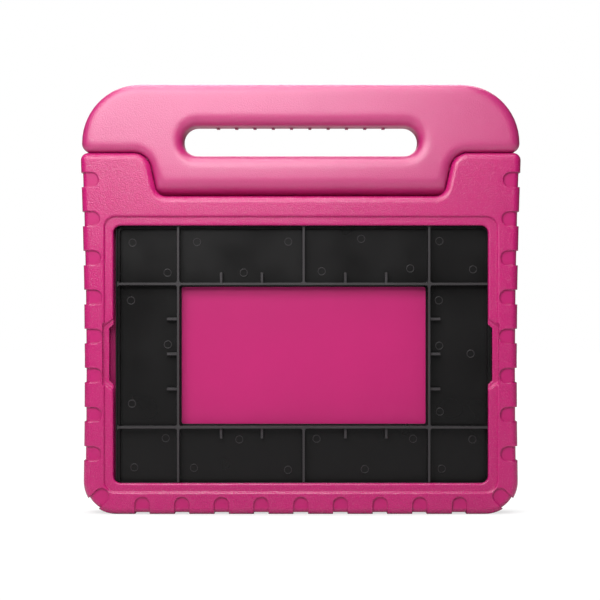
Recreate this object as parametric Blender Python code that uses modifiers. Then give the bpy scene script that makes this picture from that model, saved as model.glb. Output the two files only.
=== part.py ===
"""A kids' tablet case of closed-cell foam, with a carry handle that folds back on a hinge.

The case stands on its long lower edge with the bay for the tablet to the front. X runs to the right, Y away
from the front and Z up. The origin is on the ground, under the middle of the case. All sizes are in metres.
A rise is a height measured from the hinge's axis.
"""

import math

import bmesh
import bpy
from mathutils import Matrix, Vector

# Tablet that the bay is made for
TABLET_WIDTH = 0.2506
TABLET_HEIGHT = 0.1741
TABLET_THICKNESS = 0.0075

# Bay, and the lip that holds the tablet in it
BAY_CLEARANCE = 0.0005
BAY_DEPTH_CLEARANCE = 0.0008
BAY_CORNER_RADIUS = 0.0060
LIP_COVER = 0.0038
LIP_THICKNESS = 0.0030
LIP_RECESS = 0.0015
LIP_CORNER_RADIUS = 0.0048
STEP_MARGIN = 0.0055
STEP_CORNER_RADIUS = 0.0070

# Thumb scoops in the lip's two sides
SCOOP_LENGTH = 0.0396
SCOOP_LIP_CUT = 0.0028
SCOOP_REACH = 0.0074
SCOOP_POCKET_LENGTH = 0.0348
SCOOP_FLARE = 0.0050
SCOOP_DEPTH = 0.0030

# Foam body
LOWER_BORDER = 0.0170
UPPER_BORDER = 0.0157
SIDE_BORDER = 0.0155
FOOT_FLARE = 0.0021
SHOULDER_FLARE = 0.0029
WAIST_SHARE = 0.5713
BODY_FRONT = 0.0135
BODY_BACK = 0.0130
BODY_EDGE_RADIUS = 0.0045
FOOT_RADIUS = 0.0205
BOW_TO_HEIGHT = 18.0
SHOULDER_TIP_RADIUS = 0.0050

# Grip notches round the body's edge
NOTCH_WIDTH = 0.0096
NOTCH_LENGTH = 0.0115
CORNER_NOTCH_LENGTH = 0.0135
NOTCH_DEPTH = 0.0012
SIDE_NOTCHES = 8
FOOT_NOTCHES = 9
NOTCH_TO_CORNER = 0.0398
NOTCH_TO_SHOULDER = 0.01765

# Hinge and the seam between the body and the handle
SEAM_GAP = 0.0004
SEAM_RISE = 0.0142
SHOULDER_LENGTH = 0.0473
SEAM_SLOPE = 0.227
SHOULDER_ROUND = 0.0115
TONGUE_ROUND = 0.0060
TONGUE_RADIUS = 0.0141

# Carry handle
HANDLE_HEIGHT = 0.0447
HANDLE_CORNER_RADIUS = 0.0370
HANDLE_TIP_RADIUS = 0.0060
HANDLE_EDGE_RADIUS = 0.0055
SLOT_END_MARGIN = 0.0197
SLOT_HEIGHT = 0.0194
SLOT_RISE = 0.0220
SLOT_END_RADIUS = 0.0095
RIDGE_COUNT = 10
RIDGE_PITCH = 0.01215
RIDGE_WIDTH = 0.0020
RIDGE_HEIGHT = 0.0008

# Hinge pins and the bushes that they turn in
PART_CLEARANCE = 0.0003
PIN_RADIUS = 0.0040
PIN_SHANK_RADIUS = 0.0052
PIN_COLLAR_RADIUS = 0.0080
PIN_COLLAR = 0.0025
PIN_COLLAR_COVER = 0.0045
PIN_SHANK = 0.0180
PIN_END_PLAY = 0.0006
BUSH_WALL = 0.0020
BUSH_LENGTH = 0.0180
BUSH_FLANGE = 0.0018
BUSH_FLANGE_RADIUS = 0.0078
BUSH_COVER = 0.0042

# Insert tray
TRAY_SIDE_PLAY = 0.0050
TRAY_TOP_PLAY = 0.0025
TRAY_SHIFT = 0.0019
TRAY_CORNER_RADIUS = 0.0050
TRAY_WALL = 0.0017
TRAY_FLOOR = 0.0015
RIB_WIDTH = 0.0020
END_CELL_WIDTH = 0.0410
EDGE_CELL_HEIGHT = 0.0393
WINDOW_LEDGE = 0.0011
STUB_WIDTH = 0.0016
STUB_LENGTH = 0.0062
STUB_HEIGHT = 0.0045
STUB_SPREADS = (0.0274, 0.0542)
SIDE_STUB_PITCH = 0.0230

# Worked out from the sizes above
HALF_SEAM = SEAM_GAP / 2
BAY_HALF_WIDTH = TABLET_WIDTH / 2 + BAY_CLEARANCE
BAY_HALF_HEIGHT = TABLET_HEIGHT / 2 + BAY_CLEARANCE
BAY_DEPTH = TABLET_THICKNESS + BAY_DEPTH_CLEARANCE
BAY_CENTRE = LOWER_BORDER + BAY_HALF_HEIGHT
BAY_FRONT = -BODY_FRONT + LIP_RECESS + LIP_THICKNESS
BAY_FLOOR = BAY_FRONT + BAY_DEPTH
WAIST_HALF_WIDTH = BAY_HALF_WIDTH + SIDE_BORDER
FOOT_HALF_WIDTH = WAIST_HALF_WIDTH + FOOT_FLARE
SHOULDER_HALF_WIDTH = WAIST_HALF_WIDTH + SHOULDER_FLARE
SEAM_HALF_WIDTH = SHOULDER_HALF_WIDTH - SHOULDER_LENGTH
SHOULDER_RISE = SEAM_RISE - HALF_SEAM
OVERHANG_RISE = SEAM_RISE + HALF_SEAM
TROUGH_DROP = TONGUE_RADIUS + SEAM_GAP
HINGE_HEIGHT = LOWER_BORDER + 2 * BAY_HALF_HEIGHT + UPPER_BORDER + TROUGH_DROP
WAIST_HEIGHT = WAIST_SHARE * HINGE_HEIGHT
BOW_RADIUS = BOW_TO_HEIGHT * HINGE_HEIGHT
TOP_SIDE_NOTCH = HINGE_HEIGHT + SHOULDER_RISE - NOTCH_TO_SHOULDER
SIDE_NOTCH_PITCH = (TOP_SIDE_NOTCH - NOTCH_TO_CORNER) / (SIDE_NOTCHES - 1)
FOOT_NOTCH_PITCH = 2 * (FOOT_HALF_WIDTH - NOTCH_TO_CORNER) / (FOOT_NOTCHES - 1)
HANDLE_HALF_DEPTH = BODY_FRONT
HANDLE_TOP_RISE = OVERHANG_RISE + HANDLE_HEIGHT
SLOT_HALF_WIDTH = SEAM_HALF_WIDTH - SLOT_END_MARGIN
SLOT_CEILING_RISE = SLOT_RISE + SLOT_HEIGHT / 2
PIN_COLLAR_END = SEAM_HALF_WIDTH - PIN_COLLAR_COVER
BUSH_START = SEAM_HALF_WIDTH + BUSH_COVER
BUSH_RADIUS = PIN_RADIUS + PART_CLEARANCE + BUSH_WALL
TRAY_WIDTH = 2 * BAY_HALF_WIDTH - TRAY_SIDE_PLAY
TRAY_HEIGHT = 2 * BAY_HALF_HEIGHT - TRAY_TOP_PLAY
TRAY_DEPTH = BAY_DEPTH - 2 * PART_CLEARANCE
RIB_HALF_SPAN = TRAY_WIDTH / 2 - END_CELL_WIDTH
RIB_HALF_RISE = TRAY_HEIGHT / 2 - EDGE_CELL_HEIGHT
TRAY_CENTRE = LOWER_BORDER + PART_CLEARANCE + TRAY_HEIGHT / 2
TRAY_BACK = BAY_FLOOR - PART_CLEARANCE
TRAY_FRONT = TRAY_BACK - TRAY_DEPTH

# How far a cutter runs past what it cuts, and how near flat faces may come
OVERRUN = 0.0200
SKIN = 0.0002

ARC_STEP = math.radians(19)
FEWEST_ARC_STEPS = 3
EDGE_STEPS = 2
TURNED_STEPS = 24
WELD_DISTANCE = 0.000002
LONGEST_ARCS = 0.99
LEAST_FLAT_MATCH = 0.9999
SOFTENED_FROM = math.radians(50)
SHARP_FROM = math.radians(30)

# How a flat outline's own axes turn into the world's, for each plane that it can lie in
FRONT_PLANE = Matrix.Rotation(math.radians(90), 4, "X")
GROUND_PLANE = Matrix.Identity(4)
SIDE_PLANE = Matrix(((0, 0, 1, 0), (1, 0, 0, 0), (0, 1, 0, 0), (0, 0, 0, 1)))

PARTS = "kids_tablet_case"
CUTTERS = "cutters"


def clear_scene():
    for obj in list(bpy.data.objects):
        bpy.data.objects.remove(obj, do_unlink=True)
    for name in (PARTS, CUTTERS):
        bpy.context.scene.collection.children.link(bpy.data.collections.new(name))


def material(name, colour, roughness):
    made = bpy.data.materials.new(name)
    made.use_nodes = True
    made.diffuse_color = (*colour, 1.0)
    surface = made.node_tree.nodes["Principled BSDF"]
    surface.inputs["Base Color"].default_value = (*colour, 1.0)
    surface.inputs["Roughness"].default_value = roughness
    surface.inputs["Metallic"].default_value = 0.0
    return made


def keep(obj, collection):
    """Puts an object in one of the two collections, and hides it from the render if it only cuts."""
    bpy.data.collections[collection].objects.link(obj)
    if collection == CUTTERS:
        obj.hide_render = True
        obj.display_type = "WIRE"
    return obj


def cut(target, tool, operation="DIFFERENCE"):
    boolean = target.modifiers.new(tool.name, "BOOLEAN")
    boolean.object = tool
    boolean.operation = operation


def arc_steps(turn):
    return max(FEWEST_ARC_STEPS, math.ceil(turn / ARC_STEP))


def corner_turns(corners):
    """For each corner, its point, the directions back and ahead, and the angle that the outline turns by."""
    turns = []
    for index, (across, up, _) in enumerate(corners):
        here = Vector((across, up))
        back = (Vector(corners[index - 1][:2]) - here).normalized()
        ahead = (Vector(corners[(index + 1) % len(corners)][:2]) - here).normalized()
        turns.append((here, back, ahead, math.pi - back.angle(ahead)))
    return turns


def fitted_radii(corners, turns):
    """The corners' radii, made smaller where two arcs would need more than the straight stretch between them."""
    radii = [radius for _, _, radius in corners]
    reaches = [radius * math.tan(turn[3] / 2) for radius, turn in zip(radii, turns)]
    shares = [1.0] * len(corners)
    for index, reach in enumerate(reaches):
        both = reaches[index - 1] + reach
        length = (turns[index][0] - turns[index - 1][0]).length
        if both > LONGEST_ARCS * length:
            share = LONGEST_ARCS * length / both
            shares[index] = min(shares[index], share)
            shares[index - 1] = min(shares[index - 1], share)
    return [radius * share for radius, share in zip(radii, shares)]


def rounded(corners):
    """The closed outline through (across, up, radius) corners, with an arc of that radius in each of them."""
    points = []
    turns = corner_turns(corners)
    for radius, (here, back, ahead, turn) in zip(fitted_radii(corners, turns), turns):
        if radius <= 0:
            points.append(here)
            continue
        centre = here + (back + ahead).normalized() * radius / math.cos(turn / 2)
        start = here + back * radius * math.tan(turn / 2) - centre
        side = math.copysign(1.0, ahead.cross(back))
        steps = arc_steps(turn)
        for step in range(steps + 1):
            points.append(centre + Matrix.Rotation(side * turn * step / steps, 2) @ start)
    return points


def mirrored(right_half):
    """Corners that run up the right side, and then their mirror images down the left side."""
    return right_half + [(-across, up, radius) for across, up, radius in reversed(right_half)]


def box_corners(centre, half_width, half_height, radius=0.0):
    across, up = centre
    return [
        (across - half_width, up - half_height, radius),
        (across + half_width, up - half_height, radius),
        (across + half_width, up + half_height, radius),
        (across - half_width, up + half_height, radius),
    ]


def join_flat_faces(bm, normal):
    """Makes each of a slab's caps one face again."""
    inner = [
        edge
        for edge in bm.edges
        if len(edge.link_faces) == 2
        and all(abs(face.normal.dot(normal)) > LEAST_FLAT_MATCH for face in edge.link_faces)
    ]
    bmesh.ops.dissolve_edges(bm, edges=inner, use_verts=False)


def plate(name, outlines, near, far, collection, plane=FRONT_PLANE, origin=(0.0, 0.0, 0.0)):
    """Slabs with these outlines, side by side, from near to far along their plane's normal from the origin."""
    curve = bpy.data.curves.new(name, "CURVE")
    curve.dimensions = "2D"
    curve.fill_mode = "BOTH"
    curve.extrude = (far - near) / 2
    for outline in outlines:
        spline = curve.splines.new("POLY")
        spline.points.add(len(outline) - 1)
        for point, (across, up) in zip(spline.points, outline):
            point.co = (across, up, 0.0, 1.0)
        spline.use_cyclic_u = True
    guide = bpy.data.objects.new(name, curve)
    bpy.context.scene.collection.objects.link(guide)
    graph = bpy.context.evaluated_depsgraph_get()
    mesh = bpy.data.meshes.new_from_object(guide.evaluated_get(graph))
    bpy.data.objects.remove(guide, do_unlink=True)
    mesh.name = name
    bm = bmesh.new()
    bm.from_mesh(mesh)
    bmesh.ops.remove_doubles(bm, verts=bm.verts, dist=WELD_DISTANCE)
    join_flat_faces(bm, Vector((0.0, 0.0, 1.0)))
    bmesh.ops.recalc_face_normals(bm, faces=bm.faces)
    bm.to_mesh(mesh)
    bm.free()
    slab = keep(bpy.data.objects.new(name, mesh), collection)
    along = plane.to_3x3() @ Vector((0.0, 0.0, 1.0))
    # The front plane's own normal faces the viewer, against Y.
    middle = (near + far) / 2 * (-1 if plane is FRONT_PLANE else 1)
    slab.matrix_world = Matrix.Translation(Vector(origin) + along * middle) @ plane
    return slab


def soften(obj, radius, segments):
    """Rounds the edges between an outline's faces and its sides."""
    bevel = obj.modifiers.new("soft edge", "BEVEL")
    bevel.limit_method = "ANGLE"
    bevel.angle_limit = SOFTENED_FROM
    bevel.width = radius
    bevel.segments = segments
    bevel.use_clamp_overlap = False


def turned(name, profile, collection, side, closed=False):
    """A turned shape about the hinge's axis, from (radius, distance from the middle) points, on one side.

    The points run from the far end to the near one along the outside, so that the faces point out.
    """
    bm = bmesh.new()
    verts = [bm.verts.new((radius, 0.0, along)) for radius, along in profile]
    for first, second in zip(verts, verts[1:]):
        bm.edges.new((first, second))
    if closed:
        bm.edges.new((verts[-1], verts[0]))
    mesh = bpy.data.meshes.new(name)
    bm.to_mesh(mesh)
    bm.free()
    obj = keep(bpy.data.objects.new(name, mesh), collection)
    screw = obj.modifiers.new("turned", "SCREW")
    screw.steps = TURNED_STEPS
    screw.render_steps = TURNED_STEPS
    screw.use_merge_vertices = True
    screw.merge_threshold = WELD_DISTANCE
    obj.location = (0.0, 0.0, HINGE_HEIGHT)
    obj.rotation_euler = (0.0, side * math.radians(90), 0.0)
    return obj


def block(name, low, high):
    """A box between two opposite corners, as a cutter."""
    bm = bmesh.new()
    bmesh.ops.create_cube(bm, size=1.0)
    size = Vector(high) - Vector(low)
    bmesh.ops.scale(bm, vec=size, verts=bm.verts)
    mesh = bpy.data.meshes.new(name)
    bm.to_mesh(mesh)
    bm.free()
    obj = keep(bpy.data.objects.new(name, mesh), CUTTERS)
    obj.location = (Vector(low) + Vector(high)) / 2
    return obj


def seam_half_width(rise):
    """Half the distance between the two slanted stretches of the seam, at a height over the hinge's axis."""
    return SEAM_HALF_WIDTH + SEAM_SLOPE * rise


def body_outline(inset=0.0):
    """The body's outline with its shoulders and trough, or a smaller one that lies inside it by the inset."""
    shoulder = SHOULDER_RISE - inset
    trough = -TROUGH_DROP - inset
    beside_seam = HALF_SEAM + inset
    right_half = [
        (FOOT_HALF_WIDTH - inset, inset, FOOT_RADIUS - inset),
        (WAIST_HALF_WIDTH - inset, WAIST_HEIGHT, BOW_RADIUS),
        (SHOULDER_HALF_WIDTH - inset, HINGE_HEIGHT + shoulder, SHOULDER_TIP_RADIUS - inset),
        (seam_half_width(shoulder) + beside_seam, HINGE_HEIGHT + shoulder, SHOULDER_ROUND - beside_seam),
        (seam_half_width(trough) + beside_seam, HINGE_HEIGHT + trough, TONGUE_ROUND + beside_seam),
    ]
    return rounded(mirrored(right_half))


def side_half_width(height):
    """Half the body's width at a height, taken along the straight lines that the bowed side follows."""
    if height < WAIST_HEIGHT:
        share = height / WAIST_HEIGHT
        return FOOT_HALF_WIDTH + (WAIST_HALF_WIDTH - FOOT_HALF_WIDTH) * share
    share = (height - WAIST_HEIGHT) / (HINGE_HEIGHT + SHOULDER_RISE - WAIST_HEIGHT)
    return WAIST_HALF_WIDTH + (SHOULDER_HALF_WIDTH - WAIST_HALF_WIDTH) * share


def notch_outline(edge, inward, length=NOTCH_LENGTH):
    """The U of one grip notch, open outwards, from a point on the body's outline."""
    half = NOTCH_WIDTH / 2
    outline = rounded([(-OVERRUN, -half, 0), (length, -half, half), (length, half, half), (-OVERRUN, half, 0)])
    inward = Vector(inward).normalized()
    across = inward.orthogonal()
    return [Vector(edge) + inward * point.x + across * point.y for point in outline]


def notch_outlines():
    outlines = []
    for side in (1, -1):
        for index in range(SIDE_NOTCHES):
            height = NOTCH_TO_CORNER + index * SIDE_NOTCH_PITCH
            outlines.append(notch_outline((side * side_half_width(height), height), (-side, 0)))
        diagonal = FOOT_RADIUS * math.sqrt(0.5)
        corner = (side * (FOOT_HALF_WIDTH - FOOT_RADIUS + diagonal), FOOT_RADIUS - diagonal)
        outlines.append(notch_outline(corner, (-side, 1), CORNER_NOTCH_LENGTH))
    for index in range(FOOT_NOTCHES):
        across = (index - (FOOT_NOTCHES - 1) / 2) * FOOT_NOTCH_PITCH
        outlines.append(notch_outline((across, 0), (0, 1)))
    return outlines


def notch_cutter():
    """All the grip notches, which go in by one depth from the front, the edge and the back."""
    notches = plate("grip_notches", notch_outlines(), -BODY_FRONT - OVERRUN, BODY_BACK + OVERRUN, CUTTERS)
    near = -BODY_FRONT + NOTCH_DEPTH
    far = BODY_BACK - NOTCH_DEPTH
    core = plate("notch_floor", [body_outline(NOTCH_DEPTH)], near, far, CUTTERS)
    soften(core, BODY_EDGE_RADIUS - NOTCH_DEPTH, EDGE_STEPS)
    cut(notches, core)
    return notches


def bay_opening(margin, radius):
    """The opening's outline, widened by a margin."""
    half_width = BAY_HALF_WIDTH - LIP_COVER + margin
    half_height = BAY_HALF_HEIGHT - LIP_COVER + margin
    return rounded(box_corners((0, BAY_CENTRE), half_width, half_height, radius))


def both_sides(outline):
    return [outline, [Vector((-point.x, point.y)) for point in reversed(outline)]]


def scoop_outline(reach, length, flare):
    """A scoop in the right side of the lip: its outer end is as long as given, and it flares towards the bay."""
    lip = BAY_HALF_WIDTH - LIP_COVER
    slope = flare / reach
    inner = lip - LIP_COVER
    half_inner = length / 2 + (reach + LIP_COVER) * slope
    return rounded(
        [
            (inner, BAY_CENTRE - half_inner, 0),
            (lip + reach, BAY_CENTRE - length / 2, 0),
            (lip + reach, BAY_CENTRE + length / 2, 0),
            (inner, BAY_CENTRE + half_inner, 0),
        ]
    )


def bay_cutters():
    front = -BODY_FRONT - OVERRUN
    behind_lip = BAY_FRONT + BAY_DEPTH / 2
    bay = rounded(box_corners((0, BAY_CENTRE), BAY_HALF_WIDTH, BAY_HALF_HEIGHT, BAY_CORNER_RADIUS))
    lip_cut = scoop_outline(SCOOP_LIP_CUT, SCOOP_LENGTH - 2 * SCOOP_LIP_CUT, SCOOP_LIP_CUT)
    pocket = scoop_outline(SCOOP_REACH, SCOOP_POCKET_LENGTH, SCOOP_FLARE)
    step = bay_opening(STEP_MARGIN, STEP_CORNER_RADIUS)
    return [
        plate("lip_step", [step], front, -BODY_FRONT + LIP_RECESS, CUTTERS),
        plate("bay_opening", [bay_opening(0, LIP_CORNER_RADIUS)], front, behind_lip, CUTTERS),
        plate("bay", [bay], BAY_FRONT, BAY_FLOOR, CUTTERS),
        plate("scoop_lip_cuts", both_sides(lip_cut), front, behind_lip, CUTTERS),
        plate("scoop_pockets", both_sides(pocket), front, -BODY_FRONT + SCOOP_DEPTH, CUTTERS),
    ]


def knuckle(side):
    """The round form of a shoulder behind the hinge's axis, which the folding handle passes round."""
    profile = rounded(
        [
            (0, SHOULDER_HALF_WIDTH + OVERRUN, 0),
            (SHOULDER_RISE, SHOULDER_HALF_WIDTH + OVERRUN, 0),
            (SHOULDER_RISE, seam_half_width(SHOULDER_RISE) + HALF_SEAM, SHOULDER_ROUND - HALF_SEAM),
            (0, seam_half_width(0) + HALF_SEAM, 0),
        ]
    )
    return turned("knuckle", profile, CUTTERS, side)


def fold_cutters():
    """What the handle needs clear behind the hinge's axis, so that it can fold back through a right angle."""
    wide = SHOULDER_HALF_WIDTH + OVERRUN / 2
    behind = BODY_BACK + OVERRUN
    over_shoulders = block(
        "fold_over_shoulders",
        (-wide, 0, HINGE_HEIGHT),
        (wide, behind, HINGE_HEIGHT + SEAM_RISE + OVERRUN),
    )
    for side in (1, -1):
        cut(over_shoulders, knuckle(side))
    right_half = [
        (seam_half_width(0) + HALF_SEAM, -SKIN, 0),
        (seam_half_width(SHOULDER_RISE) + HALF_SEAM, SHOULDER_RISE, SHOULDER_ROUND - HALF_SEAM),
        (wide, SHOULDER_RISE, 0),
        (wide, behind, 0),
    ]
    beside_tongue = plate(
        "fold_beside_tongue",
        [rounded(mirrored(right_half))],
        -HANDLE_HALF_DEPTH - SEAM_GAP,
        SKIN,
        CUTTERS,
        plane=GROUND_PLANE,
        origin=(0, 0, HINGE_HEIGHT),
    )
    return [over_shoulders, beside_tongue]


def bush_seat(side):
    """The stepped hole in a shoulder for a bush."""
    far = BUSH_START + BUSH_LENGTH + PART_CLEARANCE
    step = BUSH_START + BUSH_FLANGE + PART_CLEARANCE
    near = SEAM_HALF_WIDTH - OVERRUN / 2
    sleeve = BUSH_RADIUS + PART_CLEARANCE
    flange = BUSH_FLANGE_RADIUS + PART_CLEARANCE
    profile = [(0, far), (sleeve, far), (sleeve, step), (flange, step), (flange, near), (0, near)]
    return turned("bush_seat", profile, CUTTERS, side)


def foam_body(foam):
    body = plate("foam_body", [body_outline()], -BODY_FRONT, BODY_BACK, PARTS)
    soften(body, BODY_EDGE_RADIUS, EDGE_STEPS)
    cut(body, notch_cutter())
    for tool in bay_cutters() + fold_cutters() + [bush_seat(1), bush_seat(-1)]:
        cut(body, tool)
    body.data.materials.append(foam)
    return body


def handle_outline():
    tongue = -TONGUE_RADIUS - SKIN
    right_half = [
        (seam_half_width(tongue) - HALF_SEAM, tongue, TONGUE_ROUND - HALF_SEAM),
        (seam_half_width(OVERHANG_RISE) - HALF_SEAM, OVERHANG_RISE, SHOULDER_ROUND + HALF_SEAM),
        (SHOULDER_HALF_WIDTH, OVERHANG_RISE, HANDLE_TIP_RADIUS),
        (SHOULDER_HALF_WIDTH, HANDLE_TOP_RISE, HANDLE_CORNER_RADIUS),
    ]
    return rounded(mirrored(right_half))


def slot_ring(bm, flare, depth):
    """One ring of the slot's outline, widened by a flare, at a depth behind the hinge's axis."""
    corners = box_corners(
        (0, SLOT_RISE), SLOT_HALF_WIDTH + flare, SLOT_HEIGHT / 2 + flare, SLOT_END_RADIUS + flare
    )
    verts = [bm.verts.new((point.x, depth, point.y)) for point in rounded(corners)]
    return [bm.edges.new((verts[index - 1], verts[index])) for index in range(len(verts))]


def slot_cutter():
    """The slot, which opens out in a quarter round towards the handle's front and back."""
    bm = bmesh.new()
    straight = HANDLE_HALF_DEPTH - HANDLE_EDGE_RADIUS
    back_half = []
    for step in range(EDGE_STEPS + 1):
        turn = math.radians(90) * step / EDGE_STEPS
        flare = HANDLE_EDGE_RADIUS * (1 - math.cos(turn))
        back_half.append((flare, straight + HANDLE_EDGE_RADIUS * math.sin(turn)))
    back_half.append((HANDLE_EDGE_RADIUS, HANDLE_HALF_DEPTH + OVERRUN))
    stations = [(flare, -depth) for flare, depth in reversed(back_half)] + back_half
    rings = [slot_ring(bm, flare, depth) for flare, depth in stations]
    for near, far in zip(rings, rings[1:]):
        bmesh.ops.bridge_loops(bm, edges=near + far)
    bmesh.ops.holes_fill(bm, edges=rings[0] + rings[-1])
    bmesh.ops.recalc_face_normals(bm, faces=bm.faces)
    mesh = bpy.data.meshes.new("slot")
    bm.to_mesh(mesh)
    bm.free()
    slot = keep(bpy.data.objects.new("slot", mesh), CUTTERS)
    slot.location = (0, 0, HINGE_HEIGHT)
    return slot


def tongue_cutters():
    """Rounds the tongue below the hinge's axis: a long roll in front, and a turned core behind."""
    wide = SEAM_HALF_WIDTH + OVERRUN
    low = HINGE_HEIGHT - TONGUE_RADIUS - OVERRUN
    deep = HANDLE_HALF_DEPTH + OVERRUN
    before_axis = block("under_tongue_front", (-wide, -deep, low), (wide, SKIN, HINGE_HEIGHT))
    end = wide + OVERRUN
    roll = [(0, end), (TONGUE_RADIUS, end), (TONGUE_RADIUS, -end), (0, -end)]
    cut(before_axis, turned("tongue_roll", roll, CUTTERS, 1))
    behind_axis = block("under_tongue_back", (-wide, 0, low), (wide, deep, HINGE_HEIGHT))
    core = rounded(
        [
            (0, seam_half_width(0) - HALF_SEAM, 0),
            (TONGUE_RADIUS, seam_half_width(-TONGUE_RADIUS) - HALF_SEAM, TONGUE_ROUND - HALF_SEAM),
            (TONGUE_RADIUS, -seam_half_width(-TONGUE_RADIUS) + HALF_SEAM, TONGUE_ROUND - HALF_SEAM),
            (0, -seam_half_width(0) + HALF_SEAM, 0),
        ]
    )
    cut(behind_axis, turned("tongue_core", core, CUTTERS, 1))
    return [before_axis, behind_axis]


def grip_ridges():
    """The ridges under the back half of the grip bar, each the bar's own section set down a little."""
    low = SLOT_CEILING_RISE - RIDGE_HEIGHT
    back = HANDLE_HALF_DEPTH - SKIN
    section = rounded(
        [
            (SKIN, low, 0),
            (back, low, HANDLE_EDGE_RADIUS),
            (back, SLOT_CEILING_RISE + HANDLE_EDGE_RADIUS, 0),
            (SKIN, SLOT_CEILING_RISE + HANDLE_EDGE_RADIUS, 0),
        ]
    )
    first = -(RIDGE_COUNT - 1) / 2 * RIDGE_PITCH
    ridges = plate(
        "grip_ridges",
        [section],
        first - RIDGE_WIDTH / 2,
        first + RIDGE_WIDTH / 2,
        CUTTERS,
        plane=SIDE_PLANE,
        origin=(0, 0, HINGE_HEIGHT),
    )
    array = ridges.modifiers.new("row", "ARRAY")
    array.count = RIDGE_COUNT
    array.use_relative_offset = False
    array.use_constant_offset = True
    array.constant_offset_displace = (0, 0, RIDGE_PITCH)
    return ridges


def pin_profile(far, clearance=0.0):
    """The stepped pin, or the hole that it fills, from its outer end to its inner collar."""
    outer = PIN_COLLAR_END
    shank = outer - PIN_COLLAR
    inner = shank - PIN_SHANK
    collar_radius = PIN_COLLAR_RADIUS + clearance
    return [
        (0, far),
        (PIN_RADIUS + clearance, far),
        (PIN_RADIUS + clearance, outer + clearance),
        (collar_radius, outer + clearance),
        (collar_radius, shank - clearance),
        (PIN_SHANK_RADIUS + clearance, shank - clearance),
        (PIN_SHANK_RADIUS + clearance, inner + clearance),
        (collar_radius, inner + clearance),
        (collar_radius, inner - PIN_COLLAR - clearance),
        (0, inner - PIN_COLLAR - clearance),
    ]


def hang(obj, hinge):
    """Parents an object that is already in its place to the hinge's empty."""
    obj.parent = hinge
    obj.matrix_parent_inverse = Matrix.Translation(hinge.location).inverted()


def carry_handle(foam, hinge):
    handle = plate(
        "carry_handle",
        [handle_outline()],
        -HANDLE_HALF_DEPTH,
        HANDLE_HALF_DEPTH,
        PARTS,
        origin=(0, 0, HINGE_HEIGHT),
    )
    soften(handle, min(HANDLE_EDGE_RADIUS, TONGUE_ROUND - SEAM_GAP), EDGE_STEPS)
    for tool in [slot_cutter()] + tongue_cutters():
        cut(handle, tool)
    cut(handle, grip_ridges(), "UNION")
    for side in (1, -1):
        pocket = pin_profile(SEAM_HALF_WIDTH + OVERRUN / 2, PART_CLEARANCE)
        cut(handle, turned("pin_pocket", pocket, CUTTERS, side))
    handle.data.materials.append(foam)
    hang(handle, hinge)
    return handle


def hinge_pin(name, side, plastic, hinge):
    far = BUSH_START + BUSH_LENGTH - PIN_END_PLAY
    pin = turned(name, pin_profile(far), PARTS, side)
    pin.data.materials.append(plastic)
    hang(pin, hinge)
    return pin


def hinge_bush(name, side, plastic):
    far = BUSH_START + BUSH_LENGTH
    step = BUSH_START + BUSH_FLANGE
    bore = PIN_RADIUS + PART_CLEARANCE
    profile = [
        (bore, far),
        (BUSH_RADIUS, far),
        (BUSH_RADIUS, step),
        (BUSH_FLANGE_RADIUS, step),
        (BUSH_FLANGE_RADIUS, BUSH_START),
        (bore, BUSH_START),
    ]
    bush = turned(name, profile, PARTS, side, closed=True)
    bush.data.materials.append(plastic)
    return bush


def cell_outlines():
    """The ten cells round the tray's window."""
    half_rib = RIB_WIDTH / 2
    across = TRAY_WIDTH / 2 - TRAY_WALL
    up = TRAY_HEIGHT / 2 - TRAY_WALL
    columns = [
        (-across, -RIB_HALF_SPAN - half_rib),
        (-RIB_HALF_SPAN + half_rib, -half_rib),
        (half_rib, RIB_HALF_SPAN - half_rib),
        (RIB_HALF_SPAN + half_rib, across),
    ]
    rows = [
        (-up, -RIB_HALF_RISE - half_rib),
        (-RIB_HALF_RISE + half_rib, RIB_HALF_RISE - half_rib),
        (RIB_HALF_RISE + half_rib, up),
    ]
    outlines = []
    for low, high in rows:
        for left, right in columns:
            in_window = low < 0 < high and abs(left + right) < 2 * RIB_HALF_SPAN
            if not in_window:
                centre = ((left + right) / 2, (low + high) / 2)
                outlines.append(
                    rounded(box_corners(centre, (right - left) / 2, (high - low) / 2, TRAY_WALL))
                )
    return outlines


def stub_outlines():
    """The short ribs that stand out from the long ones, away from the window."""
    outlines = []
    half = STUB_WIDTH / 2
    reach = STUB_LENGTH / 2
    for side in (1, -1):
        up = side * (RIB_HALF_RISE + reach)
        for spread in STUB_SPREADS:
            outlines.append(rounded(box_corners((spread, up), half, reach)))
            outlines.append(rounded(box_corners((-spread, up), half, reach)))
        across = side * (RIB_HALF_SPAN + reach)
        for row in (-1, 0, 1):
            outlines.append(rounded(box_corners((across, row * SIDE_STUB_PITCH), reach, half)))
    return outlines


def insert_tray(plastic):
    origin = (TRAY_SHIFT, 0, TRAY_CENTRE)
    outline = rounded(box_corners((0, 0), TRAY_WIDTH / 2, TRAY_HEIGHT / 2, TRAY_CORNER_RADIUS))
    floor = TRAY_BACK - TRAY_FLOOR
    half_span = RIB_HALF_SPAN - RIB_WIDTH / 2 - WINDOW_LEDGE
    half_rise = RIB_HALF_RISE - RIB_WIDTH / 2 - WINDOW_LEDGE
    window = rounded(box_corners((0, 0), half_span, half_rise, TRAY_WALL))
    tray = plate("insert_tray", [outline], TRAY_FRONT, TRAY_BACK, PARTS, origin=origin)
    front = TRAY_FRONT - OVERRUN
    cut(tray, plate("tray_cells", cell_outlines(), front, floor, CUTTERS, origin=origin))
    cut(tray, plate("tray_window", [window], front, TRAY_BACK + OVERRUN, CUTTERS, origin=origin))
    stubs = plate("tray_stubs", stub_outlines(), floor - STUB_HEIGHT, floor + SKIN, CUTTERS, origin=origin)
    cut(tray, stubs, "UNION")
    tray.data.materials.append(plastic)
    return tray


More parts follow.
